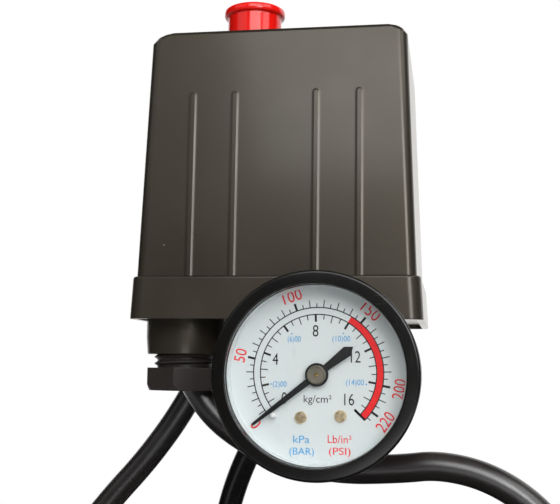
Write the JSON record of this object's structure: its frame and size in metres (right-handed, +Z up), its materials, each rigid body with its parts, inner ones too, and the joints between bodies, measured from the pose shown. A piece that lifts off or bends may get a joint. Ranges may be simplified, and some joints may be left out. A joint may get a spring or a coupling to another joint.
{
  "type": "air compressor pressure switch with pressure gauge",
  "caption": "Pressure switch with drafted cover, push-pull knob, cable glands and leads, on a port manifold that carries a round dial pressure gauge.",
  "frame": {"origin": "centre of the tank port's mouth, at the bottom face of the manifold's spanner hexagon", "axes": "+Z up along the tank port's axis, -Y towards the gauge's face, +X to the right of somebody reading the gauge; the cable glands are at -X"},
  "size_m": [0.1911, 0.1029, 0.3304],
  "materials": {
    "cast_black": "satin black enamel on zinc casting",
    "zinc_steel": "bright zinc plated",
    "spring_steel": "oiled spring wire",
    "rubber_part": "matt black rubber",
    "aluminium_part": "turned",
    "housing": "satin black-brown thermoplastic, fine texture",
    "gland": "satin black plastic",
    "knob_red": "glossy red",
    "bakelite": "dark brown phenolic",
    "brass_part": "machined brass",
    "bronze_tube": "phosphor bronze",
    "gauge_black": "semi-gloss black",
    "lens": "clear",
    "dial": "satin white, printed scales",
    "pin_metal": "turned",
    "pointer_black": "satin black",
    "cable": "black-brown flexible sheath",
    "cores": "coloured core insulation",
    "tin": "tinned copper",
    "nylon": "glossy black nylon"
  },
  "bodies": {
    "switch_body": {"port_manifold": "cast_black", "port_plugs": "zinc_steel", "clamp_screws": "zinc_steel", "cover_screw": "zinc_steel", "support_frame": "zinc_steel", "lever_pin": "zinc_steel", "spring_adjuster": "zinc_steel", "adjusting_screw": "zinc_steel", "cover_standoff": "zinc_steel", "diaphragm": "rubber_part", "gland_bushing_front": "rubber_part", "gland_bushing_rear": "rubber_part", "lens_gasket": "rubber_part", "base": "housing", "cover": "housing", "gland_nut_front": "gland", "gland_nut_rear": "gland", "terminal_block": "bakelite", "fixed_contacts": "brass_part", "terminal_screws": "brass_part", "unloader_valve": "brass_part", "valve_nut": "brass_part", "dial_screws": "brass_part", "movement_frame": "brass_part", "gauge_socket": "brass_part", "plug_pins": "brass_part", "tube_end_nut": "brass_part", "tube_olive": "brass_part", "bourdon_tube": "bronze_tube", "gauge_bezel": "gauge_black", "gauge_case": "gauge_black", "gauge_lens": "lens", "gauge_dial": "dial", "stop_pin": "pin_metal", "motor_lead": "cable", "mains_lead": "cable", "mains_coil": "cable", "mains_tail": "cable", "plug_body": "cable", "coil_tie": "cable", "motor_cores": "cores", "motor_ferrules": "tin", "unloader_tube": "nylon"},
    "knob_body": {"knob": "knob_red", "knob_stem": "zinc_steel"},
    "lever_body": {"lever": "zinc_steel"},
    "piston_body": {"piston": "aluminium_part", "range_spring": "spring_steel"},
    "carrier_body": {"contact_carrier": "bakelite", "moving_contacts": "brass_part"},
    "valve_pin_body": {"valve_pin": "brass_part"},
    "sector_body": {"sector_gear": "brass_part"},
    "pointer_body": {"pointer": "pointer_black", "pointer_cap": "pin_metal", "pointer_arbor": "brass_part"},
    "link_body": {"movement_link": "brass_part"}
  },
  "joints": [
    {"name": "knob_slide", "type": "slide", "parent": "switch_body", "child": "knob_body", "axis": [0, 0, -1], "range_m": [0, 0.005]},
    {"name": "lever_pivot", "type": "hinge", "parent": "switch_body", "child": "lever_body", "pos_m": [0, 0.015, 0.049], "axis": [-1, 0, 0], "range_deg": [0, 3.5], "stiffness_Nm_per_rad": 2, "springref_deg": -1.15},
    {"name": "piston_slide", "type": "slide", "parent": "switch_body", "child": "piston_body", "axis": [0, 0, 1], "range_m": [0, 0.000926], "deforming": ["range_spring"]},
    {"name": "carrier_slide", "type": "slide", "parent": "switch_body", "child": "carrier_body", "axis": [0, 0, 1], "range_m": [0, 0.0019]},
    {"name": "valve_pin_slide", "type": "slide", "parent": "switch_body", "child": "valve_pin_body", "axis": [0, 0, -1], "range_m": [0, 0.000517]},
    {"name": "sector_pivot", "type": "hinge", "parent": "switch_body", "child": "sector_body", "pos_m": [0, -0.0467, 0.0055], "axis": [0, -1, 0], "range_deg": [0, 43.67], "stiffness_Nm_per_rad": 0.0008, "springref_deg": -17.19},
    {"name": "pointer_spin", "type": "hinge", "parent": "switch_body", "child": "pointer_body", "pos_m": [0, -0.0545, 0.016], "axis": [0, 1, 0], "range_deg": [0, 262.1]},
    {"name": "link_slide", "type": "slide", "parent": "switch_body", "child": "link_body", "axis": [0.6921, 0, 0.7218], "range_m": [0, 0.00299]}
  ],
  "couplings": [
    {"joint": "piston_slide", "follows": "lever_pivot", "m_per_rad": 0.015},
    {"joint": "carrier_slide", "follows": "lever_pivot", "m_per_rad": 0.031},
    {"joint": "valve_pin_slide", "follows": "lever_pivot", "m_per_rad": 0.0083},
    {"joint": "pointer_spin", "follows": "sector_pivot", "ratio": 6},
    {"joint": "link_slide", "follows": "sector_pivot", "m_per_rad": 0.0039}
  ]
}
